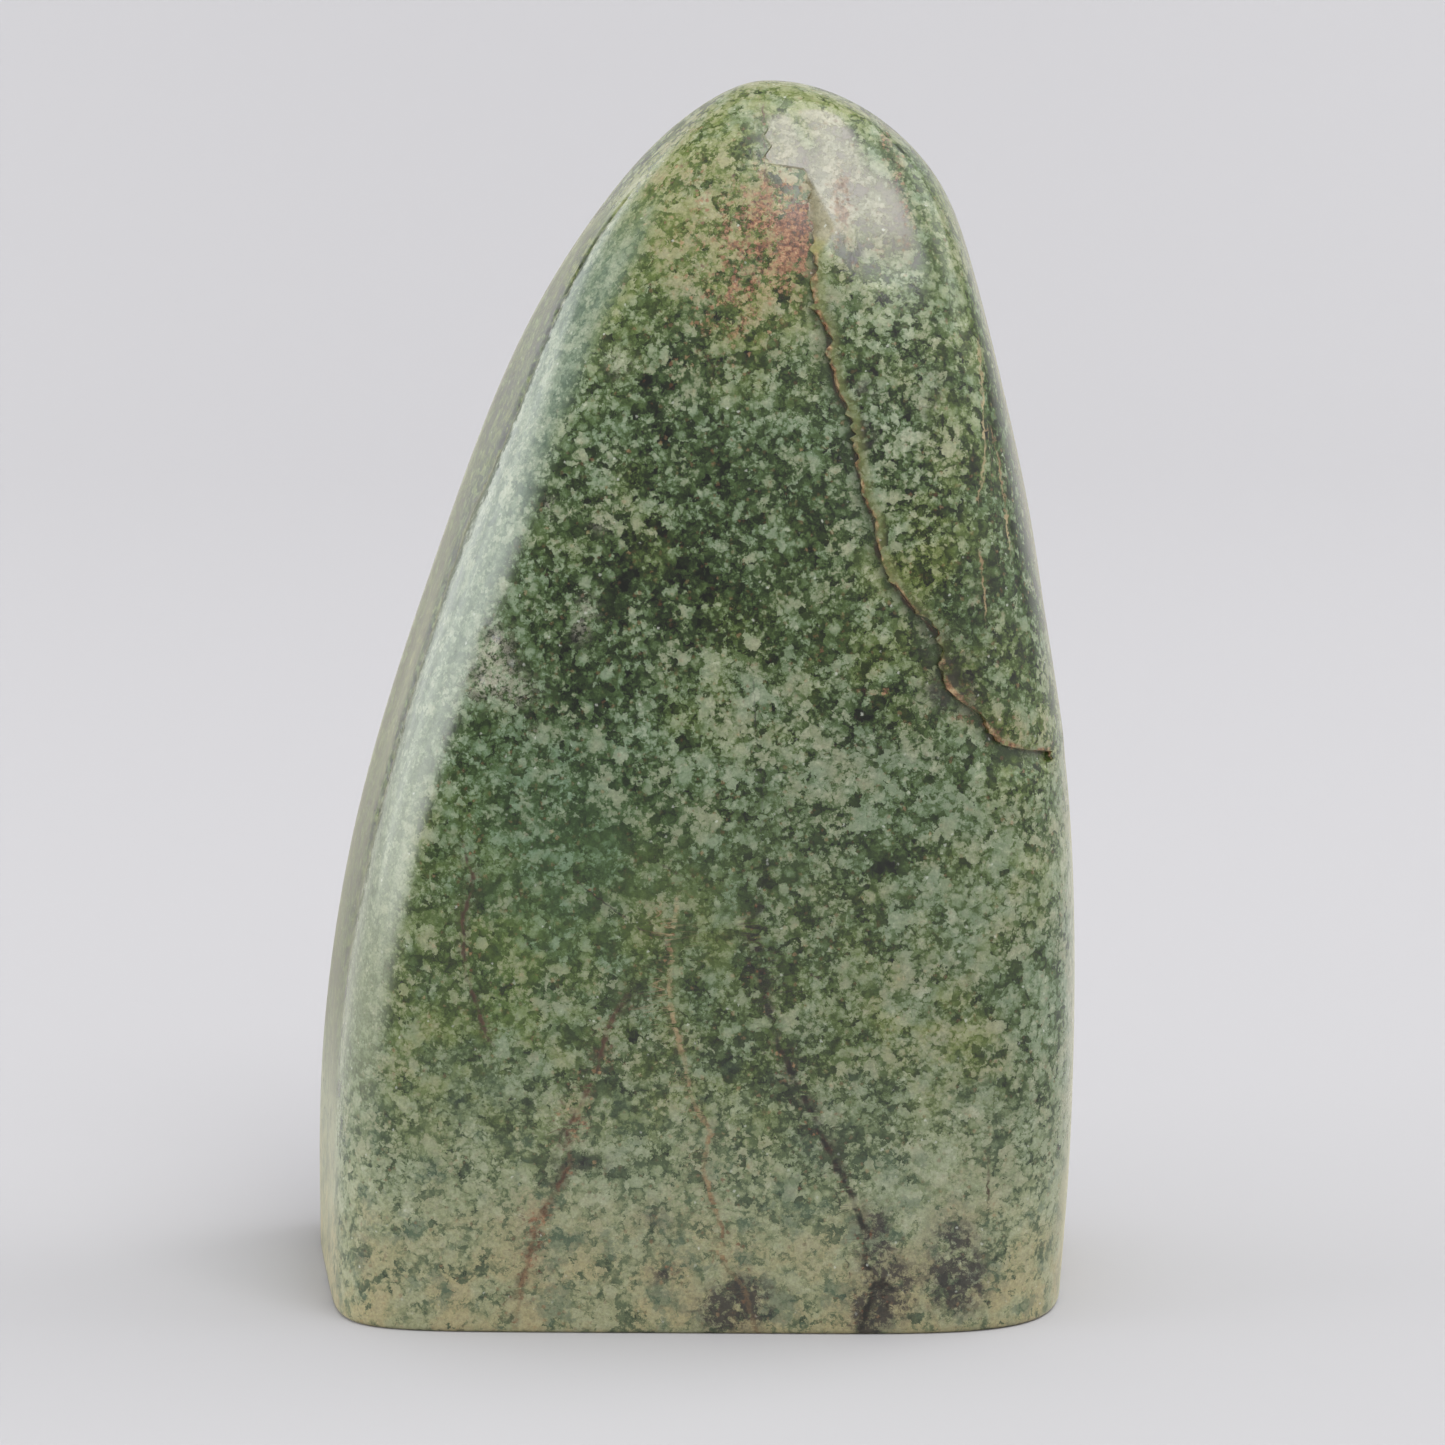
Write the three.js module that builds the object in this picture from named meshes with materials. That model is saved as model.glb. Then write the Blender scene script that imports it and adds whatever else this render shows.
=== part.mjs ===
// A polished serpentine freeform: one piece of rock, sawn flat underneath, ground on every other side to a
// rounded arch that leans to the right, and polished. Millimetres, +Z up, front towards -Y, standing on z = 0.
import * as THREE from 'three';

// Driving dimensions, in mm. Each outline list gives the stone's reach at equal steps of `climb`, from the
// base (first value) to the apex (last value). Height follows climb as a quarter sine, so that the steps
// close up towards the rounded top.
const height = 120;
const leftReach = [-37.8, -37.2, -33.6, -27.4, -20.8, -14.2, -6.7, 0.9, 6.9];
const rightReach = [36.1, 37.3, 36.7, 34.5, 31.3, 27.5, 22.9, 15.3, 6.9];
const frontReach = [-22.5, -23.2, -23.2, -21.6, -18.6, -14.4, -9.2, -3.6, 2.5];
const backReach = [23.0, 23.2, 22.6, 21.2, 19.2, 16.6, 13.4, 8.6, 2.5];
const baseEdgeRadius = 0.5;

// The left side is ground as its own face, flaring outwards to the back, and the front is turned a little to
// the left. They meet in a rounded ridge that widens upwards; the other three corners are softer, and all of
// them relax to an even dome at the top. The numbers are exponents of a rounded rectangle: 2 is an ellipse,
// and a larger one is squarer. The ridge has one at each reach.
const leftFaceFlare = THREE.MathUtils.degToRad(6.1);
const leftFaceMiddle = 0.1;
const frontFaceTurn = THREE.MathUtils.degToRad(1.1);
const ridgeSquareness = [10.0, 9.3, 8.2, 6.8, 5.4, 4.3, 3.4, 2.7, 2.3];
const cornerSquareness = { frontRight: 5.0, backLeft: 2.5, backRight: 2.6 };
const domeSquareness = 2.3;
const domeStart = 0.45;

// Hand grinding leaves slow waves: [depth mm, turns round the stone, turns up the stone, phase]. They fade in
// above the sawn base and out towards the apex.
const grindingWaves = [[0.16, 3, 1.6, 0.4], [0.10, 5, -2.7, 1.9], [0.07, 8, 3.8, 3.1]];
const wavesFullAt = 0.1;
const wavesFadeFrom = 0.8;

// A natural fracture crosses the upper right of the front. The rock on its right stands proud as a thin
// slab, and the ground-out rock on its left and below is a shallow hollow that runs out over a few mm.
// Points are [x, z] on the front, from the slab's top corner to where the fracture rounds the right side.
const fracture = [
  [6.6, 113.2], [10.4, 112.5], [11.3, 105], [11.4, 100], [12.7, 96.5], [15.1, 88], [16.1, 82.4], [17.2, 78],
  [20.3, 72.5], [23.3, 69.2], [23.8, 65.2], [27.1, 61.8], [30.3, 58.6], [34.1, 57.2],
];
const fractureStep = 0.7;
const fractureLean = 0.15;
const fractureFade = 3;
const hollowReach = 3;
const hollowSteepness = 1.5;
const slabLift = 0.15;
const slabLiftReach = 3;
const lipRounding = 0.22;
const lipRoundingReach = 0.5;

// Towards the slab's top corner the step is only a share of its full height.
const shallowShare = 0.3;
const fullStepBelow = 96;
const shallowStepAbove = 108;

// The step needs a face to stand on: it fades where the surface turns away from the front.
const turnedAway = -0.1;
const facingFront = 0.3;

// The slab's upper end is ground to a flat facet. Its plane is given by the way it faces, right of the front
// and up, and by its distance from the origin; its border is softened over a fraction of a mm.
const facetTurn = THREE.MathUtils.degToRad(9.5);
const facetTilt = THREE.MathUtils.degToRad(37.6);
const facetDistance = 75.68;
const facetSoftness = 0.5;

// Mesh density.
const rings = 56;
const edgeRings = 2;
const columns = 82;
const lipColumn = 50;
const ringSamples = 360;
const turningWeight = 1.2;
const lipSearchFrom = 0.5;
const lipSearchTo = 0.74;
const tiny = 1e-6;
const slopeStep = 1e-3;

const smoothstep = THREE.MathUtils.smoothstep;
const lerp = THREE.MathUtils.lerp;

// Natural cubic spline through equally spaced values, as a function of 0..1.
function splineThrough(values) {
  const last = values.length - 1;
  const ratio = [0];
  const bend = [0];
  for (let i = 1; i < last; i++) {
    ratio[i] = 1 / (4 - ratio[i - 1]);
    bend[i] = (6 * (values[i - 1] - 2 * values[i] + values[i + 1]) - bend[i - 1]) * ratio[i];
  }
  bend[last] = 0;
  for (let i = last - 1; i > 0; i--) bend[i] -= ratio[i] * bend[i + 1];
  return (position) => {
    const i = Math.min(Math.floor(position * last), last - 1);
    const s = position * last - i;
    const straight = lerp(values[i], values[i + 1], s);
    return straight - s * (1 - s) * ((2 - s) * bend[i] + (1 + s) * bend[i + 1]) / 6;
  };
}

const leftAt = splineThrough(leftReach);
const rightAt = splineThrough(rightReach);
const frontAt = splineThrough(frontReach);
const backAt = splineThrough(backReach);
const ridgeSquarenessAt = splineThrough(ridgeSquareness);

// The level section at one climb: a rounded rectangle whose four faces are combined by a power mean.
function section(climb) {
  const halfWidth = (rightAt(climb) - leftAt(climb)) / 2;
  const halfDepth = (backAt(climb) - frontAt(climb)) / 2;
  const z = height * Math.sin(climb * Math.PI / 2);
  const dome = THREE.MathUtils.clamp((climb - domeStart) / (1 - domeStart), 0, 1);
  const cut = Math.max(baseEdgeRadius - z, 0);
  const edgeInset = baseEdgeRadius - Math.sqrt(baseEdgeRadius ** 2 - cut ** 2);
  return {
    centre: new THREE.Vector3((rightAt(climb) + leftAt(climb)) / 2, (backAt(climb) + frontAt(climb)) / 2, z),
    halfWidth: halfWidth - edgeInset,
    halfDepth: halfDepth - edgeInset,
    climb,
    squareness: {
      frontLeft: ridgeSquarenessAt(climb),
      frontRight: lerp(cornerSquareness.frontRight, domeSquareness, dome ** 2),
      backLeft: lerp(cornerSquareness.backLeft, domeSquareness, dome ** 2),
      backRight: lerp(cornerSquareness.backRight, domeSquareness, dome ** 2),
    },
  };
}

function facePoint(ring, angle) {
  const { centre, halfWidth, halfDepth, squareness } = ring;
  if (halfWidth < tiny) return centre.clone();
  const across = Math.cos(angle);
  const along = Math.sin(angle);
  const right = (1 + across) / 2;
  const front = (1 - along) / 2;
  const backCorner = lerp(squareness.backLeft, squareness.backRight, right);
  const frontCorner = lerp(squareness.frontLeft, squareness.frontRight, right);
  const power = lerp(backCorner, frontCorner, front);
  const flareX = Math.cos(leftFaceFlare);
  const flareY = Math.sin(leftFaceFlare);
  const leftDistance = halfWidth * flareX - leftFaceMiddle * halfDepth * flareY;
  const turnX = Math.sin(frontFaceTurn);
  const turnY = Math.cos(frontFaceTurn);
  const faces = [
    across / halfWidth,
    (-flareX * across - flareY * along) / leftDistance,
    (-turnX * across - turnY * along) / halfDepth,
    along / halfDepth,
  ];
  const sum = faces.reduce((total, face) => total + Math.max(face, 0) ** power, 0);
  const radius = sum ** (-1 / power);
  return centre.clone().add(new THREE.Vector3(radius * across, radius * along, 0));
}

// A smaller of two lengths, with a soft change from one to the other.
function softSmaller(a, b, softness) {
  const share = THREE.MathUtils.clamp(0.5 + (b - a) / (2 * softness), 0, 1);
  return lerp(b, a, share) - softness * share * (1 - share);
}

const facetNormal = new THREE.Vector3(
  Math.sin(facetTurn) * Math.cos(facetTilt),
  -Math.cos(facetTurn) * Math.cos(facetTilt),
  Math.sin(facetTilt),
);

function groundPoint(ring, angle, onSlab) {
  const { centre, climb } = ring;
  const outwards = new THREE.Vector3(Math.cos(angle), Math.sin(angle), 0);
  let radius = facePoint(ring, angle).distanceTo(centre);
  const towardsFacet = facetNormal.dot(outwards);
  if (onSlab && towardsFacet > tiny) {
    const room = Math.max(facetDistance - facetNormal.dot(centre), 0);
    radius = softSmaller(radius, room / towardsFacet, facetSoftness);
  }
  const fade = smoothstep(climb, 0, wavesFullAt) * (1 - smoothstep(climb, wavesFadeFrom, 1));
  for (const [depth, round, up, phase] of grindingWaves) {
    radius += fade * depth * Math.sin(round * angle + up * 2 * Math.PI * climb + phase);
  }
  return centre.clone().addScaledVector(outwards, radius);
}

// x of the fracture at a height, and how far a point of the front lies from it.
function fractureX(z) {
  if (z >= fracture[0][1]) return fracture[0][0];
  for (let i = 1; i < fracture.length; i++) {
    const [x0, z0] = fracture[i - 1];
    const [x1, z1] = fracture[i];
    if (z >= z1) return lerp(x1, x0, (z - z1) / (z0 - z1));
  }
  return fracture.at(-1)[0];
}

function fractureDistance(point) {
  const here = new THREE.Vector3(point.x, 0, point.z);
  const nearest = new THREE.Vector3();
  const span = new THREE.Line3();
  let distance = Infinity;
  for (let i = 1; i < fracture.length; i++) {
    span.start.set(fracture[i - 1][0], 0, fracture[i - 1][1]);
    span.end.set(fracture[i][0], 0, fracture[i][1]);
    span.closestPointToPoint(here, true, nearest);
    distance = Math.min(distance, here.distanceTo(nearest));
  }
  return distance;
}

// How much of the step is left: it dies out above the slab's top corner and where it rounds the right side.
function fractureStrength(z) {
  const top = fracture[0][1];
  const tip = fracture.at(-1)[1];
  const lengthwise = (1 - smoothstep(z, top, top + fractureFade)) * smoothstep(z, tip - fractureFade, tip);
  return lengthwise * lerp(1, shallowShare, smoothstep(z, fullStepBelow, shallowStepAbove));
}

// Angles of one ring's points: more where the section turns, and two columns on the lines of the fracture.
function ringAngles(ring) {
  const start = Math.PI / 2;
  const angles = [];
  const points = [];
  for (let i = 0; i <= ringSamples; i++) {
    angles.push(start + 2 * Math.PI * i / ringSamples);
    points.push(facePoint(ring, angles[i]));
  }
  const measure = [0];
  const perimeter = points.slice(1).reduce((sum, point, i) => sum + point.distanceTo(points[i]), 0);
  for (let i = 1; i <= ringSamples; i++) {
    const before = points[i].clone().sub(points[i - 1]);
    const after = points[i % ringSamples + 1].clone().sub(points[i % ringSamples]);
    const turn = before.angleTo(after) / (2 * Math.PI);
    measure.push(measure[i - 1] + before.length() / perimeter + turningWeight * turn);
  }
  const angleAt = (wanted) => {
    let i = 1;
    while (i < ringSamples && measure[i] < wanted) i++;
    return lerp(angles[i - 1], angles[i], (wanted - measure[i - 1]) / (measure[i] - measure[i - 1]));
  };
  const measureAtX = (x) => {
    let i = Math.round(ringSamples * lipSearchFrom);
    while (i < Math.round(ringSamples * lipSearchTo) && points[i].x < x) i++;
    const s = THREE.MathUtils.clamp((x - points[i - 1].x) / (points[i].x - points[i - 1].x), 0, 1);
    return lerp(measure[i - 1], measure[i], s);
  };
  const whole = measure[ringSamples];
  const lip = measureAtX(fractureX(ring.centre.z));
  const foot = measureAtX(fractureX(ring.centre.z) - fractureLean);
  const result = [];
  for (let j = 0; j < columns; j++) {
    if (j < lipColumn) result.push(angleAt(foot * j / (lipColumn - 1)));
    else result.push(angleAt(lerp(lip, whole, (j - lipColumn) / (columns - lipColumn))));
  }
  return result;
}

function stonePoint(ring, angle, column) {
  const onSlab = column >= lipColumn;
  const point = groundPoint(ring, angle, onSlab);
  const strength = fractureStrength(point.z) * smoothstep(-Math.sin(angle), turnedAway, facingFront);
  if (strength === 0) return point;
  const distance = fractureDistance(point);
  const hollow = -fractureStep * Math.exp(-((distance / hollowReach) ** hollowSteepness));
  const rounding = lipRounding * Math.exp(-distance / lipRoundingReach);
  const lift = slabLift * Math.exp(-distance / slabLiftReach) - rounding;
  const up = groundPoint(section(ring.climb + slopeStep), angle, onSlab).sub(point);
  const round = groundPoint(ring, angle + slopeStep, onSlab).sub(point);
  const outward = round.cross(up).normalize();
  return point.addScaledVector(outward, strength * (onSlab ? lift : hollow));
}

function stoneGeometry() {
  const positions = [];
  const indices = [];
  const climbs = [0];
  for (let i = 1; i <= edgeRings; i++) {
    climbs.push(Math.asin(baseEdgeRadius * (i / edgeRings) ** 2 / height) * 2 / Math.PI);
  }
  for (let i = 1; i < rings; i++) climbs.push(i / rings);
  for (const ring of climbs.map(section)) {
    ringAngles(ring).forEach((angle, column) => positions.push(...stonePoint(ring, angle, column).toArray()));
  }
  const apex = positions.length / 3;
  positions.push(...section(1).centre.toArray());
  const baseCentre = apex + 1;
  positions.push(section(0).centre.x, section(0).centre.y, 0);
  for (let j = 0; j < columns; j++) {
    const next = (j + 1) % columns;
    for (let i = 0; i < climbs.length - 1; i++) {
      const low = i * columns;
      const high = low + columns;
      indices.push(low + j, low + next, high + next, low + j, high + next, high + j);
    }
    const top = (climbs.length - 1) * columns;
    indices.push(top + j, top + next, apex);
    indices.push(next, j, baseCentre);
  }
  const geometry = new THREE.BufferGeometry();
  geometry.setAttribute('position', new THREE.Float32BufferAttribute(positions, 3));
  geometry.setIndex(indices);
  geometry.computeBoundingBox();
  const middle = geometry.boundingBox.getCenter(new THREE.Vector3());
  geometry.translate(-middle.x, -middle.y, 0);
  geometry.computeVertexNormals();
  return geometry;
}

const polishedSerpentine = new THREE.MeshStandardMaterial({
  color: new THREE.Color(0.17, 0.21, 0.13),
  roughness: 0.2,
  metalness: 0,
});

const stone = new THREE.Mesh(stoneGeometry(), polishedSerpentine);
stone.name = 'serpentine_stone';

const group = new THREE.Group();
group.add(stone);

export default group;
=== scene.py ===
import math

import bpy
import numpy as np
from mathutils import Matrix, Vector


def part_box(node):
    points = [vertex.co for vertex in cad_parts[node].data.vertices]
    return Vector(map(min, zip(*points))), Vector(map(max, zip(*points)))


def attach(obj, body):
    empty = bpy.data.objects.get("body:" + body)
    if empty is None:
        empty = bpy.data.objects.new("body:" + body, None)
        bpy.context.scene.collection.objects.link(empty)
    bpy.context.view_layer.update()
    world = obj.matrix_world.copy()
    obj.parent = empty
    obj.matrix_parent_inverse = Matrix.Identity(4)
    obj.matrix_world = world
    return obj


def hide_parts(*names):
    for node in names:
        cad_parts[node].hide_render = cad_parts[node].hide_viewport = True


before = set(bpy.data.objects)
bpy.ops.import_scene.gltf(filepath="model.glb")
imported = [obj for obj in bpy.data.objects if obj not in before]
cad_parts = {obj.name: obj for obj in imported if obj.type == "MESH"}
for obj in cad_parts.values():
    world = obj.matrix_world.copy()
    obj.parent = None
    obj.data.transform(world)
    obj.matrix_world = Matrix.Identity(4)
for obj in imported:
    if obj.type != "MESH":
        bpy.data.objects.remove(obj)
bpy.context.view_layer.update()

# ----------------------------------------------------------------------------------------
# The stone, its ground form. One lump of serpentine, sawn flat underneath, then held against a grinding
# wheel until only soft faces are left: a broad front, a left face that meets it in a narrow ridge, a
# rounder right side and back, and a dome that leans to the right. Sizes are in mm until the mesh is made.
# ----------------------------------------------------------------------------------------
MM = 0.001
HEIGHT = 120
LEFT_REACH = [-37.8, -37.2, -33.6, -27.4, -20.8, -14.2, -6.7, 0.9, 6.9]
RIGHT_REACH = [36.1, 37.3, 36.7, 34.5, 31.3, 27.5, 22.9, 15.3, 6.9]
FRONT_REACH = [-22.5, -23.2, -23.2, -21.6, -18.6, -14.4, -9.2, -3.6, 2.5]
BACK_REACH = [23.0, 23.2, 22.6, 21.2, 19.2, 16.6, 13.4, 8.6, 2.5]
BASE_EDGE_RADIUS = 0.5
LEFT_FACE_FLARE = math.radians(6.1)
LEFT_FACE_MIDDLE = 0.1
FRONT_FACE_TURN = math.radians(1.1)
FRONT_LEFT_SQUARE = [10.0, 9.3, 8.2, 6.8, 5.4, 4.3, 3.4, 2.7, 2.3]
FRONT_RIGHT_SQUARE = 5.0
BACK_LEFT_SQUARE = 2.5
BACK_RIGHT_SQUARE = 2.6
DOME_SQUARE = 2.3
DOME_START = 0.45
GRINDING_WAVES = [(0.16, 3, 1.6, 0.4), (0.10, 5, -2.7, 1.9), (0.07, 8, 3.8, 3.1)]
WAVES_START = 0.1
WAVES_END = 0.8
FACET_TURN = math.radians(9.5)
FACET_TILT = math.radians(37.6)
FACET_NORMAL = np.array([math.sin(FACET_TURN) * math.cos(FACET_TILT),
                         -math.cos(FACET_TURN) * math.cos(FACET_TILT), math.sin(FACET_TILT)])
FACET_DISTANCE = 75.68
FACET_SOFTNESS_LEFT = 0.5
FACET_SOFTNESS_RIGHT = 3.2
FACET_SOFTENS = (12, 20)
SLIVER = 1e-6
NEARLY_LEVEL = 1e-3
FAR_AWAY = 1e3


def spline_through(values):
    """A natural cubic spline through evenly spaced values, as a function of 0..1."""
    values = np.array(values)
    last = len(values) - 1
    matrix = np.eye(last + 1)
    pull = np.zeros(last + 1)
    for i in range(1, last):
        matrix[i, i - 1:i + 2] = (1, 4, 1)
        pull[i] = 6 * (values[i - 1] - 2 * values[i] + values[i + 1])
    bend = np.linalg.solve(matrix, pull)

    def at(position):
        i = np.minimum((position * last).astype(int), last - 1)
        s = position * last - i
        straight = values[i] * (1 - s) + values[i + 1] * s
        return straight - s * (1 - s) * ((2 - s) * bend[i] + (1 + s) * bend[i + 1]) / 6

    return at


left_at, right_at, front_at, back_at, ridge_square_at = map(
    spline_through, (LEFT_REACH, RIGHT_REACH, FRONT_REACH, BACK_REACH, FRONT_LEFT_SQUARE))


def smooth(value, low, high):
    share = np.clip((value - low) / (high - low), 0, 1)
    return share * share * (3 - 2 * share)


def mix(a, b, share):
    return a + (b - a) * share


def height_of(climb):
    return HEIGHT * np.sin(climb * math.pi / 2)


def reaches_at(climb):
    return left_at(climb), right_at(climb), front_at(climb), back_at(climb)


def face_points(climb, angle):
    """Points of the plain faces: a rounded rectangle at every level, its sides joined by a power mean."""
    left, right, front, back = reaches_at(climb)
    z = height_of(climb)
    cut = np.clip(BASE_EDGE_RADIUS - z, 0, None)
    edge_inset = BASE_EDGE_RADIUS - np.sqrt(BASE_EDGE_RADIUS ** 2 - cut ** 2)
    half_width = np.maximum((right - left) / 2 - edge_inset, SLIVER)
    half_depth = np.maximum((back - front) / 2 - edge_inset, SLIVER)
    across, along = np.cos(angle), np.sin(angle)
    to_right, to_front = (1 + across) / 2, (1 - along) / 2
    dome = np.clip((climb - DOME_START) / (1 - DOME_START), 0, 1)
    back_left, back_right, front_right = (mix(corner, DOME_SQUARE, dome ** 2) for corner in
                                          (BACK_LEFT_SQUARE, BACK_RIGHT_SQUARE, FRONT_RIGHT_SQUARE))
    front_left = ridge_square_at(climb)
    power = mix(mix(back_left, back_right, to_right), mix(front_left, front_right, to_right), to_front)
    flare_x, flare_y = math.cos(LEFT_FACE_FLARE), math.sin(LEFT_FACE_FLARE)
    left_distance = half_width * flare_x - LEFT_FACE_MIDDLE * half_depth * flare_y
    turn_x, turn_y = math.sin(FRONT_FACE_TURN), math.cos(FRONT_FACE_TURN)
    faces = [across / half_width, (-flare_x * across - flare_y * along) / left_distance,
             (-turn_x * across - turn_y * along) / half_depth, along / half_depth]
    radius = sum(np.maximum(face, 0) ** power for face in faces) ** (-1 / power)
    return (left + right) / 2 + radius * across, (front + back) / 2 + radius * along, z + 0 * radius


def facet_cut(climb, angle, x, y, z):
    """Pulls points in to the flat facet that was ground on the slab's upper end."""
    left, right, front, back = reaches_at(climb)
    middle_x, middle_y = (left + right) / 2, (front + back) / 2
    to_right, to_back, to_top = FACET_NORMAL
    towards = to_right * np.cos(angle) + to_back * np.sin(angle)
    room = np.maximum(FACET_DISTANCE - to_right * middle_x - to_back * middle_y - to_top * z, 0)
    reach = np.where(towards > NEARLY_LEVEL, room / np.maximum(towards, NEARLY_LEVEL), FAR_AWAY)
    radius = np.hypot(x - middle_x, y - middle_y)
    softness = mix(FACET_SOFTNESS_LEFT, FACET_SOFTNESS_RIGHT, smooth(x, *FACET_SOFTENS))
    share = np.clip(0.5 + (reach - radius) / (2 * softness), 0, 1)
    cut = mix(reach, radius, share) - softness * share * (1 - share)
    return middle_x + cut * np.cos(angle), middle_y + cut * np.sin(angle)


def ground_points(climb, angle, on_slab):
    """The faces with the slow waves that grinding by hand leaves in them, and the facet on the slab."""
    x, y, z = face_points(climb, angle)
    x, y = np.where(on_slab, facet_cut(climb, angle, x, y, z), (x, y))
    fade = smooth(climb, 0, WAVES_START) * (1 - smooth(climb, WAVES_END, 1))
    wave = sum(depth * np.sin(lobes * angle + up * 2 * math.pi * climb + phase)
               for depth, lobes, up, phase in GRINDING_WAVES) * fade
    return np.stack([x + wave * np.cos(angle), y + wave * np.sin(angle), z], axis=-1)


# ----------------------------------------------------------------------------------------
# The fracture across the upper right of the front. A thin slab of rock stands proud on its right; on its
# left and below, the broken rock was ground out into a shallow hollow that fades over a few mm. The slab's
# edge is ragged and crusted with rust-coloured iron.
# ----------------------------------------------------------------------------------------
FRACTURE = [
    (6.6, 113.2), (10.4, 112.7), (10.7, 111.5), (11.3, 107.4), (11.3, 103.4), (11.5, 100.0), (12.1, 99.1),
    (12.7, 97.6), (12.6, 95.8), (13.1, 94.6), (13.4, 92.7), (14.3, 91.1), (14.8, 89.9), (15.3, 86.3),
    (15.7, 84.5), (16.1, 82.4), (17.1, 80.4), (17.3, 77.4), (18.6, 74.9), (20.3, 72.5), (22.1, 70.7),
    (23.1, 69.6), (23.5, 67.8), (23.8, 65.2), (24.6, 64.0), (25.8, 62.9), (27.1, 61.8), (27.9, 60.4),
    (28.8, 59.3), (30.3, 58.5), (31.6, 57.9), (34.1, 57.2),
]
FRACTURE_STEP = 0.7
FRACTURE_LEAN = 0.12
FRACTURE_FADE = 3
RAGGED_DEPTH = 0.3
RAGGED_LENGTH = 0.45
HOLLOW_REACH = 3
HOLLOW_FALL = 1.5
SLAB_LIFT = 0.15
SLAB_LIFT_REACH = 3
LIP_ROUNDING = 0.22
LIP_ROUND_REACH = 0.5
SHALLOW_SHARE = 0.3
FULL_STEP_BELOW = 96
SHALLOW_STEP_ABOVE = 108
TOP_SHARE = 0.45
TOP_FADE = (110, 112.5)

fracture = np.array(FRACTURE)
ragged_height = np.arange(0, HEIGHT, RAGGED_LENGTH)
ragged_shift = np.random.default_rng(11).normal(0, RAGGED_DEPTH, len(ragged_height))


def fracture_x(z):
    path = np.interp(z, fracture[::-1, 1], fracture[::-1, 0])
    return path + np.interp(z, ragged_height, ragged_shift)


def line_distance(x, z, line):
    """Distance to a line of (x, z) points, which side of it a point is on, and how far along it (0..1)."""
    best = np.full(x.shape, np.inf)
    side = np.ones(x.shape)
    along = np.zeros(x.shape)
    lengths = np.hypot(*np.diff(line, axis=0).T)
    done = 0
    for (x0, z0), (x1, z1), length in zip(line[:-1], line[1:], lengths):
        dx, dz = (x1 - x0) / length, (z1 - z0) / length
        share = np.clip((x - x0) * dx + (z - z0) * dz, 0, length)
        distance = np.hypot(x - x0 - share * dx, z - z0 - share * dz)
        near = distance < best
        best = np.where(near, distance, best)
        side = np.where(near, np.sign(dx * (z - z0) - dz * (x - x0)), side)
        along = np.where(near, (done + share) / lengths.sum(), along)
        done += length
    return best, side, along


# ----------------------------------------------------------------------------------------
# The stone's skin. Rings run up the stone and columns round it, closer together where the section turns.
# Two columns follow the foot and the lip of the fracture, so that its edge stays crisp.
# ----------------------------------------------------------------------------------------
EDGE_RINGS = 5
RINGS = 330
COLUMNS_LEFT = 170
COLUMNS_RIGHT = 118
CLIMB_SAMPLES = 4000
RING_SAMPLES = 720
FRONT_ENDS = 1.98 * math.pi
TURNING_WEIGHT = 1.2
LIP_CROWDING = 1.35
DOME_CROWDING = 0.7

fine_climb = np.linspace(0, 1, CLIMB_SAMPLES)
ring_measure = height_of(fine_climb) / HEIGHT + DOME_CROWDING * fine_climb
wanted = np.linspace(0, ring_measure[-1], RINGS + 1)[:-1]
edge_heights = BASE_EDGE_RADIUS * (np.arange(1, EDGE_RINGS) / EDGE_RINGS) ** 2
edge_climbs = np.arcsin(edge_heights / HEIGHT) * 2 / math.pi
climbs = np.unique(np.concatenate([np.interp(wanted, ring_measure, fine_climb), edge_climbs]))

sample_angle = np.linspace(math.pi / 2, math.pi * 5 / 2, RING_SAMPLES + 1)
sample_x, sample_y, _ = face_points(climbs[:, None], sample_angle[None, :])
step_x, step_y = np.diff(sample_x, axis=1), np.diff(sample_y, axis=1)
step_length = np.hypot(step_x, step_y)
heading = np.unwrap(np.arctan2(step_y, step_x), axis=1)
turn = np.abs(np.diff(heading, axis=1, append=heading[:, :1] + 2 * math.pi)) / (2 * math.pi)
step_measure = step_length / step_length.sum(1, keepdims=True) + TURNING_WEIGHT * turn
measure = np.concatenate([np.zeros((len(climbs), 1)), np.cumsum(step_measure, axis=1)], axis=1)

front_half = (sample_angle > math.pi) & (sample_angle < FRONT_ENDS)
left_shares = 1 - (np.arange(COLUMNS_LEFT)[::-1] / (COLUMNS_LEFT - 1)) ** LIP_CROWDING
right_shares = (np.arange(COLUMNS_RIGHT) / COLUMNS_RIGHT) ** LIP_CROWDING
angles = []
for i, climb in enumerate(climbs):
    lip_x = fracture_x(height_of(climb))
    foot_measure = np.interp(lip_x - FRACTURE_LEAN, sample_x[i, front_half], measure[i, front_half])
    lip_measure = np.interp(lip_x, sample_x[i, front_half], measure[i, front_half])
    targets = np.concatenate([foot_measure * left_shares, mix(lip_measure, measure[i, -1], right_shares)])
    angles.append(np.interp(targets, measure[i], sample_angle))
angles = np.array(angles)
ring_count, column_count = angles.shape

NUDGE = 1e-4
on_slab = np.arange(column_count)[None, :] >= COLUMNS_LEFT
skin = ground_points(climbs[:, None], angles, on_slab)
upward = ground_points(climbs[:, None] + NUDGE, angles, on_slab) - skin
around = ground_points(climbs[:, None], angles + NUDGE, on_slab) - skin
outward = np.cross(around, upward)
outward /= np.linalg.norm(outward, axis=-1, keepdims=True)

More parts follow.
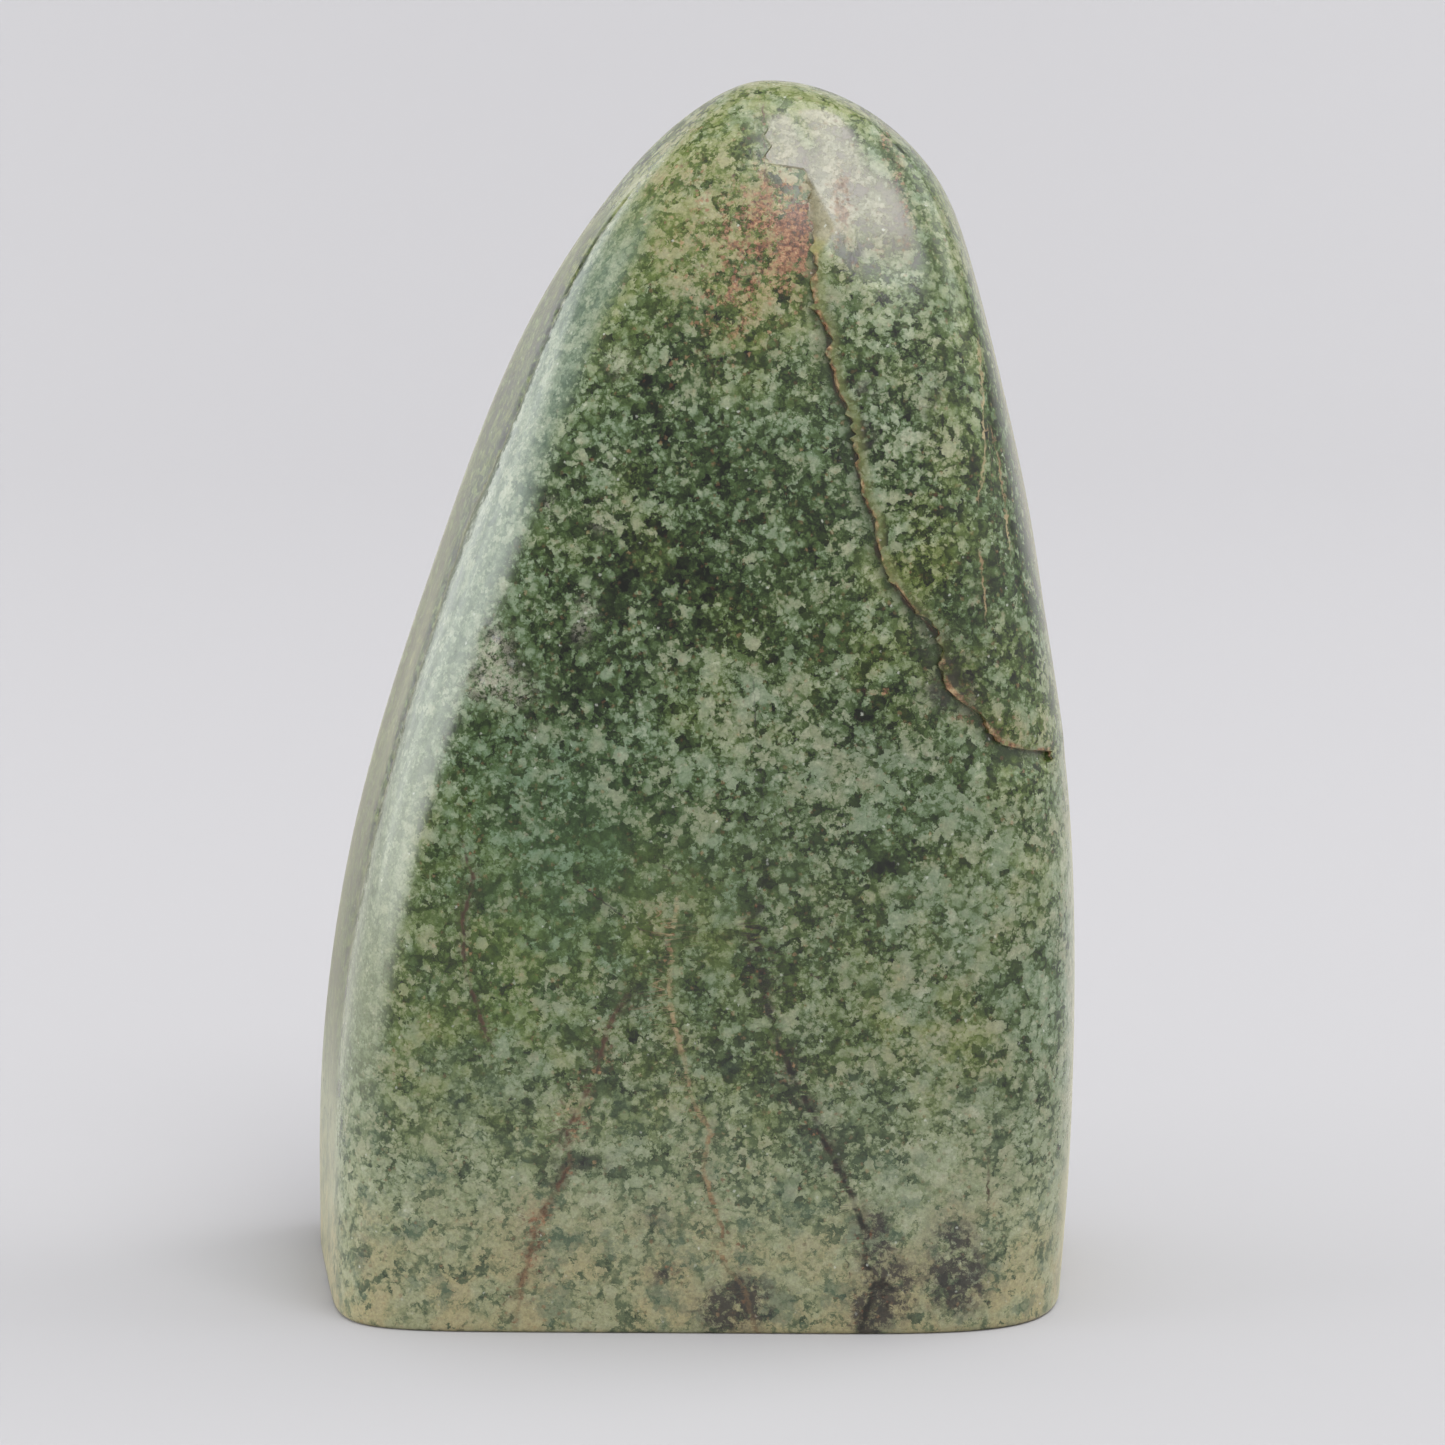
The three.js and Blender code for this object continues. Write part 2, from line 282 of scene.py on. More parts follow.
FRONT_FADE = (-0.1, 0.3)
ground_x, ground_z = skin[..., 0], skin[..., 2]
faces_front = smooth(-np.sin(angles), *FRONT_FADE)
lip_top, lip_tip = fracture[0, 1], fracture[-1, 1]
strength = (1 - smooth(ground_z, lip_top, lip_top + FRACTURE_FADE)) * faces_front
strength = strength * smooth(ground_z, lip_tip - FRACTURE_FADE, lip_tip)
strength = strength * mix(1, TOP_SHARE, smooth(ground_z, *TOP_FADE))
step_share = mix(1, SHALLOW_SHARE, smooth(ground_z, FULL_STEP_BELOW, SHALLOW_STEP_ABOVE))
lip_distance, _, _ = line_distance(ground_x, ground_z, fracture)
hollow = np.exp(-(lip_distance / HOLLOW_REACH) ** HOLLOW_FALL)
rounding = LIP_ROUNDING * np.exp(-lip_distance / LIP_ROUND_REACH)
lift = SLAB_LIFT * np.exp(-lip_distance / SLAB_LIFT_REACH) - rounding
relief = strength * step_share * np.where(on_slab, lift, -FRACTURE_STEP * hollow)

# A small flat spall on the slab's upper edge, tilted towards the hollow.
SPALL = [(10.4, 112.7), (13.6, 107.3), (11.4, 104.6)]
SPALL_SLOPE = 0.27
SPALL_TOP = SPALL[0][1] + 0.2
SPALL_FLOOR = 103
SPALL_WIDTH = 3
SPALL_FEATHER = 0.15
spall_depth = SPALL_TOP - ground_z
for (x0, z0), (x1, z1) in zip(SPALL[:-1], SPALL[1:]):
    length = math.hypot(x1 - x0, z1 - z0)
    inside = ((x1 - x0) * (ground_z - z0) - (z1 - z0) * (ground_x - x0)) / length
    spall_depth = np.minimum(spall_depth, -inside)
spall = np.where(on_slab & (np.sin(angles) < 0), np.clip(spall_depth, 0, SPALL_WIDTH), 0)
relief = relief - SPALL_SLOPE * spall

# Small chips in the ridge, where crumbly pale rock broke out under the grinding. Each: x, z, radius, depth.
CHIPS = [
    (-20.1, 68.8, 0.75, 0.35), (-18.5, 66.6, 0.8, 0.4), (-21.2, 64.8, 0.6, 0.3), (-19.6, 65.3, 0.5, 0.2),
]
crumbled = np.random.default_rng(5).uniform(0.7, 1.3, relief.shape)
for x, z, radius, depth in CHIPS:
    reach = np.hypot(ground_x - x, ground_z - z) / radius
    relief = relief - depth * crumbled * np.exp(-reach ** 4) * faces_front

# How far a point faces left of the front tells the ridge and the left face from the front. The ridge's
# polish ends in a ragged line, where crumbs broke out of its outer edge. Widths here are degrees that the
# skin turns through, and a pair holds the heights or turns between which one thing fades into the next.
RIDGE_STARTS = (14, 34)
RIDGE_ENDS = (103, 112)
BAND_STARTS = (24, 42)
BAND_END_BELOW = 81
BAND_END_ABOVE = 73
BAND_NARROWS = (70, 103)
LEFT_FACE_ENDS = (84, 92)
GROOVE_STARTS = (20, 50)
GROOVE_PAST_BAND = 1.2
GROOVE_WIDTH = 0.75
GROOVE_DEPTH = 0.55
GROOVE_LENGTH = 1.3
leftward = np.degrees(np.arctan2(-outward[..., 0], -outward[..., 1]))
up_the_ridge = smooth(ground_z, *RIDGE_STARTS) * (1 - smooth(ground_z, *RIDGE_ENDS))
band_end = mix(BAND_END_BELOW, BAND_END_ABOVE, smooth(ground_z, *BAND_NARROWS))
groove = np.exp(-((leftward - band_end - GROOVE_PAST_BAND) / GROOVE_WIDTH) ** 2)
groove = groove * up_the_ridge * smooth(ground_z, *GROOVE_STARTS)
groove_heights = np.arange(0, HEIGHT, GROOVE_LENGTH)
groove_depths = np.random.default_rng(8).uniform(0.1, 1.1, len(groove_heights))
groove_depth = np.interp(ground_z, groove_heights, groove_depths) * crumbled
relief = relief - GROOVE_DEPTH * groove * groove_depth

skin = skin + outward * relief[..., None]
front_x, front_z = skin[..., 0], skin[..., 2]
apex = ground_points(np.array([1.0]), np.array([0.0]), False)
base_middle = np.array([[skin[0, :, 0].mean(), skin[0, :, 1].mean(), 0]])
points = np.concatenate([skin.reshape(-1, 3), apex, base_middle])

ring = np.arange(ring_count - 1)[:, None] * column_count
column = np.arange(column_count)[None, :]
following = (column + 1) % column_count
quads = np.stack([ring + column, ring + following, ring + column_count + following,
                  ring + column_count + column], axis=-1).reshape(-1, 4)
top_ring = (ring_count - 1) * column_count
column, following = column[0], following[0]
apex_index, base_index = ring_count * column_count, ring_count * column_count + 1
top_fan = np.stack([top_ring + column, top_ring + following, np.full(column_count, apex_index)], axis=-1)
base_fan = np.stack([following, column, np.full(column_count, base_index)], axis=-1)

SHARP_EDGE = math.radians(38)
skin_mesh = bpy.data.meshes.new("polished_stone")
skin_middle = (points.min(0) + points.max(0)) / 2
cad_low, cad_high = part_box("serpentine_stone")
shift = np.array([(cad_low[0] + cad_high[0]) / 2 / MM - skin_middle[0],
                  (cad_low[1] + cad_high[1]) / 2 / MM - skin_middle[1], 0])
skin_mesh.from_pydata((points + shift) * MM, [], quads.tolist() + top_fan.tolist() + base_fan.tolist())
skin_mesh.shade_smooth()
skin_mesh.set_sharp_from_angle(angle=SHARP_EDGE)


def mark_points(name, values):
    """Stores one number on every point of the skin for the material to read."""
    flat = np.concatenate([values.ravel(), [0, 0]])
    layer = skin_mesh.attributes.new(name, "FLOAT", "POINT")
    layer.data.foreach_set("value", flat.astype(np.float32))


CRUST_ENDS = (109, 112)
FACET_ENDS = (8, 3)
on_band = smooth(leftward, *BAND_STARTS) * (1 - smooth(leftward, band_end - 2, band_end))
on_left_face = smooth(leftward, band_end - 1, band_end + 1) * (1 - smooth(leftward, *LEFT_FACE_ENDS))
at_band_end = smooth(leftward, band_end - 6, band_end - 1) * (1 - smooth(leftward, band_end, band_end + 2))
off_facet = np.degrees(np.arccos(np.clip(outward @ FACET_NORMAL, -1, 1)))

# The offset from the fracture is in mm, positive on the slab and negative in the hollow.
mark_points("lip_offset", np.where(on_slab, lip_distance, -lip_distance))
mark_points("lip_strength", strength * (1 - smooth(front_z, *CRUST_ENDS)))
mark_points("spall_zone", smooth(spall, 0, SPALL_FEATHER) * (front_z > SPALL_FLOOR))
mark_points("ridge_band", on_band * up_the_ridge)
mark_points("left_edge", on_left_face * up_the_ridge)
mark_points("ridge_line", at_band_end * up_the_ridge * smooth(front_z, *GROOVE_STARTS))
mark_points("facet_zone", smooth(off_facet, *FACET_ENDS) * on_slab)

stone = bpy.data.objects.new("polished_stone", skin_mesh)
bpy.context.scene.collection.objects.link(stone)
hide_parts("serpentine_stone")
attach(stone, "root")

# ----------------------------------------------------------------------------------------
# The colour zones of the rock. Serpentine is never even: soft patches are richer in pale grains, darker,
# more olive, rusty, smoky, frosty or a fresher green, and calm ones have less contrast. A few are painted
# light or shade instead: pale patches low on the right stand in for light from the right, and one smoky
# patch below the spall is painted shadow. Each patch on the front is (x, z, half-width, half-height,
# strength), in mm.
# ----------------------------------------------------------------------------------------
# Painted light: the pale patches low on the right, from x 24 mm out to the right edge, partly stand in for
# light falling from the right.
PALE_PATCHES = [
    (-13.5, 3, 3, 3, 0.6), (10, 3, 3, 3, 0.6), (-1, 2.5, 2.5, 2.5, 0.5), (26, 3, 3, 2.5, -0.4),
    (-20, 8, 3, 3, -0.4), (4, 65.5, 8, 3.5, 0.9), (15, 57, 8, 5, 0.9), (3, 57, 4, 5, 0.7),
    (-12, 57, 5, 3.5, 0.5), (-13, 31, 6, 4, 0.5), (22, 14, 4, 5, 0.9), (-8, 14, 4, 5, 0.5),
    (0, 27, 3, 3, 0.4), (1, 16, 3, 3, 0.5), (10, 34, 3, 3, 0.5), (21, 35, 4, 6, 0.4), (8, 90, 4, 3, 0.6),
    (20, 86, 3, 5, 0.6), (12, 97, 5, 4, 0.3), (-4, 47, 3, 3, 0.3), (0, 112, 7, 5, 0.5), (18, 70, 3, 5, 0.1),
    (35, 36, 3, 14, 0.5), (14, 6, 20, 5, 0.15), (12, 120, 16, 2.5, 0.8), (26, 108, 4, 9, 0.7),
    (25, 54, 6, 4, 0.4), (30, 46, 5, 10, 0.3), (17, 78, 1.2, 5, 0.8), (5, 60, 9, 3, 0.3),
    (28, 50, 7, 12, 0.25), (28, 22, 8, 14, 0.2), (-14, 86, 6, 6, 0.25), (-33, 12, 5, 14, 0.6),
    (16, 116, 8, 4, 0.5), (-4, 108, 6, 8, 0.5), (26, 42, 9, 10, 0.45), (24, 17, 10, 9, 0.4),
    (26, 1, 9, 6, 0.5), (-12, 1, 14, 6, 0.4), (17.5, 84, 1.5, 4, 0.8),
]
DARK_PATCHES = [
    (-6, 75, 7, 4, 0.75), (2, 71, 7, 5, 0.7), (-10, 66, 5, 4, 0.6), (12.5, 70, 3, 3, 0.6),
    (16.5, 62.5, 3, 3, 1.4), (24, 66, 2.5, 3, 0.6), (-4, 89, 5, 5, 0.5), (14, 90, 3, 4, 0.4),
    (18.6, 47.5, 2.5, 2.5, 1.4), (-7, 98, 2, 2, 0.9), (-19, 22.4, 2, 1.5, 1.2),
    (-12.3, 17.3, 2.2, 1.0, 2.0), (6.5, 33, 2, 12, 0.4), (-23, 38, 4, 4, 0.3), (17, 62, 3, 2.5, 0.5),
    (-3, 82, 6, 6, 0.3), (24, 82, 6, 11, 0.45), (-5, 41, 9, 8, 0.25), (2, 20, 8, 6, 0.2),
    (22, 102, 3, 6, 0.3), (-7, 74, 9, 9, 0.2), (3, 92, 9, 8, 0.25), (31, 76, 3, 14, 0.5),
    (-6, 48.5, 4, 4, 0.3), (-19, 35, 5, 5, 0.4), (10, 76, 5, 10, 0.5), (27, 90, 3, 8, 0.3),
    (14.5, 105.3, 2, 1.5, 0.8),
]
OLIVE_PATCHES = [
    (0, 113, 7, 6, 1.0), (6, 104, 9, 8, 0.9), (21, 77, 4, 5, 0.9), (31, 58, 4, 7, 0.8),
    (-30, 40, 5, 12, 0.4), (-2, 40, 6, 3, 0.6), (25, 32, 5, 6, 0.5), (-5, 24, 5, 5, 0.3),
    (-14, 6, 8, 4, 0.5), (12, 28, 6, 8, 0.3), (-8, 102, 4, 5, 0.5), (0, 111, 8, 6, 0.8),
    (-5.6, 92, 6, 7, -0.4), (24, 66, 4, 3, 0.5), (-18, 58, 9, 12, -0.5), (10, 76, 5, 9, -0.5),
    (14, 118, 10, 4, 0.7), (-12, 104, 5, 6, 0.6), (-4, 110, 6, 8, 0.4), (-5, 36, 24, 14, 0.4),
    (-20, 38, 12, 14, 0.3), (26, 108, 5, 9, 0.8), (12, 119, 16, 3, 0.4),
]
# Painted shadow: the patch at x 13.4, z 106.2 is shade below the spall's lower end; the rest are smoky
# stain.
SMOKE_AND_SHADOW_PATCHES = [
    (25.5, 5.2, 2.4, 2.6, 3.0), (25, 9.5, 2.5, 2.5, 1.3), (17.3, 9.8, 1.2, 2.6, 2.8),
    (18.8, 4.6, 2.2, 2.6, 3.0), (16.6, 1.5, 1.6, 2.5, 2.0), (4.6, 3.4, 2.4, 2.2, 3.0),
    (2.0, 2.2, 1.6, 1.8, 1.8), (-3, 6.4, 1.6, 2.0, 1.3), (23.5, 66.5, 1.8, 3.0, 1.1),
    (25.5, 63.5, 1.8, 1.6, 1.0), (22.2, 70.5, 1.2, 2.0, 0.6), (26.5, 68, 2.5, 3, 0.35),
    (17, 59, 3, 2.5, 0.25), (12.8, 98, 0.7, 4, 0.5), (10.3, 105.2, 1.2, 1.4, 0.9),
    (13.4, 106.2, 1.0, 1.2, 0.9), (15.2, 104.5, 1.2, 1.6, 1.2), (16.3, 88.5, 1.0, 1.6, 1.2),
    (16.1, 92.8, 1.2, 1.4, 1.0), (22.6, 91.7, 1.6, 3.0, 0.6), (-9, 17.4, 1.4, 0.8, 0.5),
    (24, 63.5, 2.0, 1.2, 0.8), (-4.5, 11.5, 1.2, 2.0, 0.7), (-6.2, 34, 1.0, 1.6, 0.7),
    (-12.4, 17.4, 2.4, 1.1, 0.8), (6.6, 36, 1.2, 3, 0.5), (9.5, 26.5, 1.6, 3, 0.5), (12, 20, 1.6, 3, 0.6),
    (-33, 8, 1.2, 2.5, 0.5), (-15.5, 8, 1.2, 4, 0.4),
]
RUST_PATCHES = [
    (9.7, 107.0, 1.5, 3.0, 1.3), (6.5, 106, 3.5, 5, 0.4), (3, 105, 5, 6, 0.2), (1, 111, 6, 4, 0.14),
    (-3, 108, 5, 7, 0.12), (6.8, 110.5, 2.4, 2.6, 0.25), (4.5, 101, 6, 4, 0.12), (2, 98, 6, 5, 0.2),
    (-9, 29, 1.4, 3, 0.4), (-11.5, 22, 1.6, 4, 0.45), (-15.5, 10, 1.4, 5, 0.6), (4.3, 9.5, 0.8, 2.5, 0.35),
    (2.8, 14, 0.6, 3, 0.25), (-2.8, 7, 2, 2, 0.2), (27, 61.5, 3, 1.0, 0.5), (31, 59.5, 3, 1.2, 0.5),
    (17.5, 64.2, 1.5, 0.4, 0.6), (12, 112, 3, 3, 0.3),
]
SLAB_RUST_PATCHES = [
    (8.8, 112.4, 1.4, 1.0, 0.6), (14, 109.5, 1.2, 3.2, 0.75), (19.4, 112, 0.6, 2.4, 0.45),
    (20.2, 108, 0.7, 2.6, 0.5), (17, 105.5, 2.5, 1.5, 0.3), (18.2, 115, 0.6, 1.6, 0.5),
    (25, 63, 3, 2, 0.35), (30, 60, 3, 1.6, 0.3),
]
CALM_PATCHES = [
    (-14, 44, 13, 10, 1.0), (2, 42, 7, 7, 0.7), (-5, 8, 30, 9, 0.6), (-25, 28, 8, 8, 0.5),
    (-7, 107, 5, 8, 0.9), (-6, 49, 5, 5, 0.5), (25, 108, 4, 9, 0.9), (19, 86, 6, 16, -1.0),
    (6, 60, 12, 8, -0.5), (-3, 82, 10, 14, -0.3),
]
FRESH_PATCHES = [
    (-15, 46, 11, 13, 0.8), (-19, 34, 6, 6, 0.6), (-8, 56, 8, 8, 0.3),
]
FROST_PATCHES = [
    (-19.5, 67.5, 1.6, 2.2, 1.0), (-20.5, 64.5, 2.0, 1.6, 0.8), (-17.5, 64.0, 1.8, 1.6, 0.6),
    (-10.5, 72, 0.8, 1.2, 0.7), (-11.2, 69.8, 0.7, 1.0, 0.7), (-9.2, 80, 0.8, 0.8, 0.5),
    (-14.2, 81.5, 0.5, 0.8, 0.6), (-7.5, 95, 1.2, 1.2, 0.5), (-18.8, 73.6, 0.6, 0.6, 0.5),
    (-15.5, 60, 0.7, 0.7, 0.5),
]


def patch_sum(patches):
    total = np.zeros(front_x.shape)
    for x, z, half_width, half_height, amount in patches:
        total += amount * np.exp(-(((front_x - x) / half_width) ** 2 + ((front_z - z) / half_height) ** 2))
    return total * faces_front


# Painted light: the right-facing side is painted paler, up to about half the stone's height, as if lit from
# the right.
RIGHT_SIDE_PAINTED_LIGHT = 1.6
RIGHT_SIDE_STARTS = (60, 78)
RIGHT_SIDE_ENDS = (105, 135)
RIGHT_SIDE_TOP = (48, 62)
SLAB_FLOOR = 55
rightward = np.degrees(np.arctan2(outward[..., 0], -outward[..., 1]))
right_side = smooth(rightward, *RIGHT_SIDE_STARTS) * (1 - smooth(rightward, *RIGHT_SIDE_ENDS))
right_side = right_side * (1 - smooth(front_z, *RIGHT_SIDE_TOP))
on_rusty_slab = on_slab & (front_z > SLAB_FLOOR)
paleness = patch_sum(PALE_PATCHES) - patch_sum(DARK_PATCHES)
# The tone zone carries the rock's pale and dark patches and the painted light on the right side.
mark_points("tone_zone", paleness + RIGHT_SIDE_PAINTED_LIGHT * right_side)
mark_points("rust_zone", np.where(on_rusty_slab, patch_sum(SLAB_RUST_PATCHES), patch_sum(RUST_PATCHES)))
mark_points("calm_zone", np.clip(patch_sum(CALM_PATCHES), -1, 1))
for name, patches in (("olive_zone", OLIVE_PATCHES), ("smoke_and_shadow_zone", SMOKE_AND_SHADOW_PATCHES),
                      ("fresh_zone", FRESH_PATCHES), ("frost_zone", FROST_PATCHES)):
    mark_points(name, patch_sum(patches))

# Fine healed cracks. Each: points, half-width mm, hue at its first and last point (0 dark, 0.5 rust, 1
# tan), and how strong the soft halo beside it is.
VEINS = [
    ([(-6.4, 35.2), (-8.6, 31.5), (-9.8, 26.4), (-12.6, 20.9), (-12.3, 17.3), (-15.4, 12), (-16.5, 7.9),
      (-17.7, 1.7)], 0.27, 0.3, 0.55, 0.8),
    ([(-1.7, 45.4), (-2.3, 40.9), (-2.7, 35), (-2.3, 31.5), (-1.3, 27.9), (-0.4, 23.5), (1.3, 20.6),
      (0.5, 16.9), (2.4, 10.9), (2.5, 7.3), (4.5, 4.9), (5.7, 0.5)], 0.26, 1.0, 0.5, 0.3),
    ([(6.2, 46), (5.8, 39.2), (6.8, 33.1), (8, 29.2), (10.7, 23.5), (12.8, 18.8), (15.3, 13.9), (16.7, 9.4),
      (16.2, 7.5), (17.4, 5.8), (16.6, 3), (16.2, 0.7)], 0.34, 0.0, 0.0, 0.9),
    ([(17.4, 5.8), (19, 4.9)], 0.3, 0.0, 0.0, 0.5),
    ([(-22.7, 49.7), (-21.6, 45), (-22.7, 42.1), (-22.5, 36.5), (-20.8, 31.5), (-20.5, 30.4)],
     0.2, 0.2, 0.3, 0.5),
    ([(-12.5, 46.2), (-9, 43.5), (-5.5, 40.9), (-2.7, 39.4)], 0.10, 0.05, 0.05, 0.2),
    ([(-4.2, 47.7), (-0.9, 45.8)], 0.08, 0.1, 0.1, 0.0),
    ([(3, 40.9), (7.4, 38.8), (9, 38.2)], 0.08, 0.1, 0.1, 0.2),
    ([(10.2, 36.5), (12.1, 36.2)], 0.08, 0.1, 0.1, 0.0),
    ([(27.2, 97), (27.6, 90.5), (27.8, 86.7), (27.2, 82.4)], 0.12, 0.9, 0.9, 0.0),
    ([(28.2, 89), (29, 85.8), (29.7, 81.5), (30.2, 77)], 0.09, 0.5, 0.9, 0.1),
    ([(27.2, 77.5), (27.4, 76.1), (27.8, 71.1)], 0.11, 0.6, 0.9, 0.1),
    ([(28.4, 18), (28.3, 13.2)], 0.12, 0.2, 0.2, 0.0),
    ([(5.4, 66), (5.6, 60), (6.4, 55), (6.2, 49.7)], 0.07, 0.0, 0.0, 0.1),
    ([(6.4, 118.6), (6.5, 113.2), (6.8, 110.4)], 0.09, 0.35, 0.45, 0.3),
]
VEIN_REACH = 2.4
VEIN_FADES = 1.4
VEIN_STARTS = (-0.03, 0.12)
VEIN_ENDS = (0.96, 1.06)
NO_VEIN = 9.0
vein_marks = {"vein_offset": np.full(front_x.shape, NO_VEIN)}
for name in ("vein_width", "vein_hue", "vein_halo", "vein_strength"):
    vein_marks[name] = np.zeros(front_x.shape)
nearest_vein = np.full(front_x.shape, np.inf)
for line, half_width, first_hue, last_hue, halo in VEINS:
    distance, side, along = line_distance(front_x, front_z, np.array(line))
    near = (distance < nearest_vein) & (distance < VEIN_REACH)
    nearest_vein = np.where(near, distance, nearest_vein)
    taper = np.minimum(smooth(along, *VEIN_STARTS), 1 - smooth(along, *VEIN_ENDS))
    taper = taper * (1 - smooth(distance, VEIN_FADES, VEIN_REACH)) * faces_front
    hue = mix(first_hue, last_hue, along)
    for name, value in zip(vein_marks, (side * distance, half_width, hue, halo, taper)):
        vein_marks[name] = np.where(near, value, vein_marks[name])
for name, values in vein_marks.items():
    mark_points(name, values)

# ----------------------------------------------------------------------------------------
# The finish: polished serpentine. Ragged pale grains and dark gaps lie in a green ground that drifts
# between olive and blue-green and pales to sage near the base. The grains take the polish differently, so
# the gloss is slightly broken.
# ----------------------------------------------------------------------------------------


def add(tree, kind, **settings):
    made = tree.nodes.new(kind)
    for name, value in settings.items():
        setattr(made, name, value)
    return made


def feed(tree, socket, value):
    if isinstance(value, bpy.types.NodeSocket):
        tree.links.new(value, socket)
    else:
        socket.default_value = value


def calculate(tree, operation, *values, clamp=False):
    made = add(tree, "ShaderNodeMath", operation=operation, use_clamp=clamp)
    for socket, value in zip(made.inputs, values):
        feed(tree, socket, value)
    return made.outputs[0]


def times(tree, first, second, clamp=False):
    return calculate(tree, "MULTIPLY", first, second, clamp=clamp)


def grade(tree, value, amount, start):
    """The start, moved by an amount for every unit of the value."""
    return calculate(tree, "MULTIPLY_ADD", value, amount, start)


def swing(tree, value, amount, start, middle=0.5):
    """The start, moved by an amount for every unit that the value lies past its middle."""
    return grade(tree, calculate(tree, "SUBTRACT", value, middle), amount, start)


def vector_math(tree, operation, *values):
    made = add(tree, "ShaderNodeVectorMath", operation=operation)
    for socket, value in zip(made.inputs, values):
        feed(tree, socket, value)
    return made.outputs["Value" if operation == "DOT_PRODUCT" else "Vector"]


def scaled(tree, vector, factor):
    made = add(tree, "ShaderNodeVectorMath", operation="SCALE")
    feed(tree, made.inputs[0], vector)
    feed(tree, made.inputs["Scale"], factor)
    return made.outputs[0]


def blend(tree, share, a, b, kind="MIX"):
    made = add(tree, "ShaderNodeMix", data_type="RGBA", blend_type=kind)
    for socket, value in zip((made.inputs[0], made.inputs[6], made.inputs[7]), (share, a, b)):
        feed(tree, socket, value)
    return made.outputs[2]


def mix_values(tree, share, a, b):
    made = add(tree, "ShaderNodeMix", data_type="FLOAT")
    for socket, value in zip((made.inputs[0], made.inputs[2], made.inputs[3]), (share, a, b)):
        feed(tree, socket, value)
    return made.outputs[0]


def stretch(tree, value, low, high, to_low=0.0, to_high=1.0):
    made = add(tree, "ShaderNodeMapRange", interpolation_type="SMOOTHSTEP")
    for socket, number in zip(made.inputs, (value, low, high, to_low, to_high)):
        feed(tree, socket, number)
    return made.outputs[0]


def cloudy(tree, position, size, detail, roughness, shift=(0, 0, 0), output="Fac"):
    """Soft noise with lumps of about that size in mm, as one value or as three in a colour."""
    made = add(tree, "ShaderNodeTexNoise")
    feed(tree, made.inputs["Vector"], vector_math(tree, "ADD", position, shift))
    for name, value in (("Scale", 1 / size), ("Detail", detail), ("Roughness", roughness)):
        made.inputs[name].default_value = value
    return made.outputs[output]


def mark(tree, name):
    return add(tree, "ShaderNodeAttribute", attribute_type="GEOMETRY", attribute_name=name).outputs["Fac"]


def srgb(red, green, blue):
    """A colour given on a 0..255 scale, as the linear colour a shader takes."""
    return (*(c / 255 / 12.92 if c < 10.3 else ((c / 255 + 0.055) / 1.055) ** 2.4
              for c in (red, green, blue)), 1.0)


def ramp(tree, value, stops):
    made = add(tree, "ShaderNodeValToRGB")
    elements = made.color_ramp.elements
    while len(elements) < len(stops):
        elements.new(0.5)
    for element, (position, colour) in zip(elements, stops):
        element.position = position
        element.color = srgb(*colour)
    feed(tree, made.inputs[0], value)
    return made.outputs["Color"]


# Grains: crystals cut across by the polished skin. Each cell is wholly one thing or not, its edges ragged.
grains = bpy.data.node_groups.new("mineral grains", "ShaderNodeTree")
for name, kind in (("Position", "NodeSocketVector"), ("Grain size", "NodeSocketFloat"),
                   ("Share", "NodeSocketFloat"), ("Softness", "NodeSocketFloat")):
    grains.interface.new_socket(name, in_out="INPUT", socket_type=kind)
for name in ("Mask", "Shade"):
    grains.interface.new_socket(name, in_out="OUTPUT", socket_type="NodeSocketFloat")
group_in = add(grains, "NodeGroupInput").outputs
group_out = add(grains, "NodeGroupOutput").inputs
wobble = add(grains, "ShaderNodeTexNoise")
feed(grains, wobble.inputs["Vector"], group_in["Position"])
feed(grains, wobble.inputs["Scale"], calculate(grains, "DIVIDE", 2.0, group_in["Grain size"]))
wobble.inputs["Detail"].default_value = 3
wobble.inputs["Roughness"].default_value = 0.65
centred = vector_math(grains, "SUBTRACT", wobble.outputs["Color"], (0.5, 0.5, 0.5))
sway = scaled(grains, centred, times(grains, 1.2, group_in["Grain size"]))
cells = add(grains, "ShaderNodeTexVoronoi")
feed(grains, cells.inputs["Vector"], vector_math(grains, "ADD", group_in["Position"], sway))
feed(grains, cells.inputs["Scale"], calculate(grains, "DIVIDE", 1.0, group_in["Grain size"]))
lots = add(grains, "ShaderNodeSeparateColor")
feed(grains, lots.inputs["Color"], cells.outputs["Color"])
low = calculate(grains, "SUBTRACT", group_in["Share"], group_in["Softness"])
high = calculate(grains, "ADD", group_in["Share"], group_in["Softness"])
chosen = stretch(grains, lots.outputs["Red"], low, high, 1.0, 0.0)
rounded = stretch(grains, cells.outputs["Distance"], 0.25, 0.55, 1.0, 0.0)
feed(grains, group_out["Mask"], times(grains, chosen, rounded))
feed(grains, group_out["Shade"], lots.outputs["Green"])


def grain_layer(tree, position, size, share, softness, shift):
    layer = add(tree, "ShaderNodeGroup", node_tree=grains)
    feed(tree, layer.inputs["Position"], vector_math(tree, "ADD", position, shift))
    for name, value in (("Grain size", size), ("Share", share), ("Softness", softness)):
        feed(tree, layer.inputs[name], value)
    return layer.outputs["Mask"], layer.outputs["Shade"]


finish = bpy.data.materials.new("polished serpentine")
finish.use_nodes = True
tree = finish.node_tree
shader = tree.nodes["Principled BSDF"]
place = scaled(tree, add(tree, "ShaderNodeTexCoord").outputs["Object"], 1 / MM)
axes = add(tree, "ShaderNodeSeparateXYZ")
feed(tree, axes.inputs[0], place)
level = axes.outputs["Z"]

